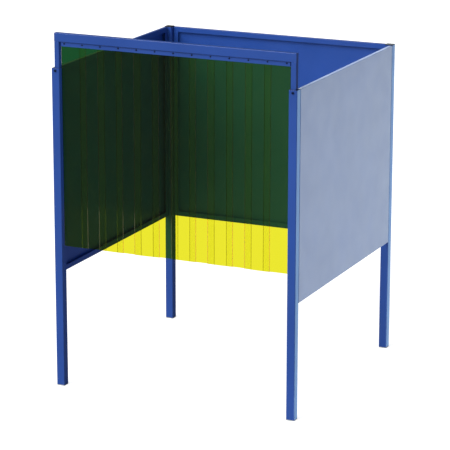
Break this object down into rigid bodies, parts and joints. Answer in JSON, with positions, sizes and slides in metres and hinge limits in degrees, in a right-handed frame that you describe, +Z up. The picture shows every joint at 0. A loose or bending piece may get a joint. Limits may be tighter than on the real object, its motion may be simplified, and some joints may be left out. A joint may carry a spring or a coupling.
{
  "type": "welding curtain screen",
  "caption": "Free-standing welding booth with three sheet-metal walls on square posts and a hanging strip curtain on a height-adjustable portal frame.",
  "frame": {"origin": "on the floor, in the middle of the booth's square plan", "axes": "+Z up; the curtain side faces -Y and the right-hand wall is on +X"},
  "size_m": [1.5, 1.5056, 2.08],
  "materials": {
    "blue_paint": "satin blue powder coat",
    "curtain_vinyl": "glossy translucent yellow PVC",
    "black_plastic": "matt black moulded polyethylene",
    "foot_plastic": "matt grey moulded polyethylene",
    "dark_steel": "blue-black oxide steel"
  },
  "bodies": {
    "booth_frame": {"front_left_collar": "black_plastic", "front_left_foot": "foot_plastic", "front_left_post": "blue_paint", "front_right_collar": "black_plastic", "front_right_foot": "foot_plastic", "front_right_post": "blue_paint", "left_wall": "blue_paint", "left_wall_bolt_1": "dark_steel", "left_wall_bolt_2": "dark_steel", "left_wall_bolt_3": "dark_steel", "left_wall_bolt_4": "dark_steel", "rear_left_cap": "black_plastic", "rear_left_foot": "foot_plastic", "rear_left_post": "blue_paint", "rear_right_cap": "black_plastic", "rear_right_foot": "foot_plastic", "rear_right_post": "blue_paint", "rear_wall": "blue_paint", "rear_wall_bolt_1": "dark_steel", "rear_wall_bolt_2": "dark_steel", "rear_wall_bolt_3": "dark_steel", "rear_wall_bolt_4": "dark_steel", "right_wall": "blue_paint", "right_wall_bolt_1": "dark_steel", "right_wall_bolt_2": "dark_steel", "right_wall_bolt_3": "dark_steel", "right_wall_bolt_4": "dark_steel"},
    "curtain_frame": {"clamp_bar": "blue_paint", "clamp_screw_01": "dark_steel", "clamp_screw_02": "dark_steel", "clamp_screw_03": "dark_steel", "clamp_screw_04": "dark_steel", "clamp_screw_05": "dark_steel", "clamp_screw_06": "dark_steel", "clamp_screw_07": "dark_steel", "clamp_screw_08": "dark_steel", "clamp_screw_09": "dark_steel", "clamp_screw_10": "dark_steel", "clamp_screw_11": "dark_steel", "clamp_screw_12": "dark_steel", "clamp_screw_13": "dark_steel", "curtain_rail": "blue_paint", "front_left_upright": "blue_paint", "front_right_upright": "blue_paint", "hanger_bar": "blue_paint"},
    "front_left_lock_screw": {"front_left_lock_screw": "dark_steel"},
    "front_right_lock_screw": {"front_right_lock_screw": "dark_steel"},
    "strip_01": {"curtain_strip_01": "curtain_vinyl"},
    "strip_02": {"curtain_strip_02": "curtain_vinyl"},
    "strip_03": {"curtain_strip_03": "curtain_vinyl"},
    "strip_04": {"curtain_strip_04": "curtain_vinyl"},
    "strip_05": {"curtain_strip_05": "curtain_vinyl"},
    "strip_06": {"curtain_strip_06": "curtain_vinyl"},
    "strip_07": {"curtain_strip_07": "curtain_vinyl"},
    "strip_08": {"curtain_strip_08": "curtain_vinyl"},
    "strip_09": {"curtain_strip_09": "curtain_vinyl"},
    "strip_10": {"curtain_strip_10": "curtain_vinyl"},
    "strip_11": {"curtain_strip_11": "curtain_vinyl"},
    "strip_12": {"curtain_strip_12": "curtain_vinyl"}
  },
  "joints": [
    {"name": "curtain_height", "type": "slide", "parent": "booth_frame", "child": "curtain_frame", "axis": [0, 0, 1], "range_m": [-0.13, 0.2]},
    {"name": "front_left_lock", "type": "slide", "parent": "booth_frame", "child": "front_left_lock_screw", "axis": [0, -1, 0], "range_m": [0, 0.008]},
    {"name": "front_right_lock", "type": "slide", "parent": "booth_frame", "child": "front_right_lock_screw", "axis": [0, -1, 0], "range_m": [0, 0.008]},
    {"name": "strip_01_swing", "type": "hinge", "parent": "curtain_frame", "child": "strip_01", "pos_m": [-0.6215, -0.7223, 2.0025], "axis": [-1, 0, 0], "range_deg": [0, 75]},
    {"name": "strip_02_swing", "type": "hinge", "parent": "curtain_frame", "child": "strip_02", "pos_m": [-0.5085, -0.7197, 2.0025], "axis": [1, 0, 0], "range_deg": [0, 75]},
    {"name": "strip_03_swing", "type": "hinge", "parent": "curtain_frame", "child": "strip_03", "pos_m": [-0.3955, -0.7223, 2.0025], "axis": [-1, 0, 0], "range_deg": [0, 75]},
    {"name": "strip_04_swing", "type": "hinge", "parent": "curtain_frame", "child": "strip_04", "pos_m": [-0.2825, -0.7197, 2.0025], "axis": [1, 0, 0], "range_deg": [0, 75]},
    {"name": "strip_05_swing", "type": "hinge", "parent": "curtain_frame", "child": "strip_05", "pos_m": [-0.1695, -0.7223, 2.0025], "axis": [-1, 0, 0], "range_deg": [0, 75]},
    {"name": "strip_06_swing", "type": "hinge", "parent": "curtain_frame", "child": "strip_06", "pos_m": [-0.0565, -0.7197, 2.0025], "axis": [1, 0, 0], "range_deg": [0, 75]},
    {"name": "strip_07_swing", "type": "hinge", "parent": "curtain_frame", "child": "strip_07", "pos_m": [0.0565, -0.7223, 2.0025], "axis": [-1, 0, 0], "range_deg": [0, 75]},
    {"name": "strip_08_swing", "type": "hinge", "parent": "curtain_frame", "child": "strip_08", "pos_m": [0.1695, -0.7197, 2.0025], "axis": [1, 0, 0], "range_deg": [0, 75]},
    {"name": "strip_09_swing", "type": "hinge", "parent": "curtain_frame", "child": "strip_09", "pos_m": [0.2825, -0.7223, 2.0025], "axis": [-1, 0, 0], "range_deg": [0, 75]},
    {"name": "strip_10_swing", "type": "hinge", "parent": "curtain_frame", "child": "strip_10", "pos_m": [0.3955, -0.7197, 2.0025], "axis": [1, 0, 0], "range_deg": [0, 75]},
    {"name": "strip_11_swing", "type": "hinge", "parent": "curtain_frame", "child": "strip_11", "pos_m": [0.5085, -0.7223, 2.0025], "axis": [-1, 0, 0], "range_deg": [0, 75]},
    {"name": "strip_12_swing", "type": "hinge", "parent": "curtain_frame", "child": "strip_12", "pos_m": [0.6215, -0.7197, 2.0025], "axis": [1, 0, 0], "range_deg": [0, 75]}
  ]
}
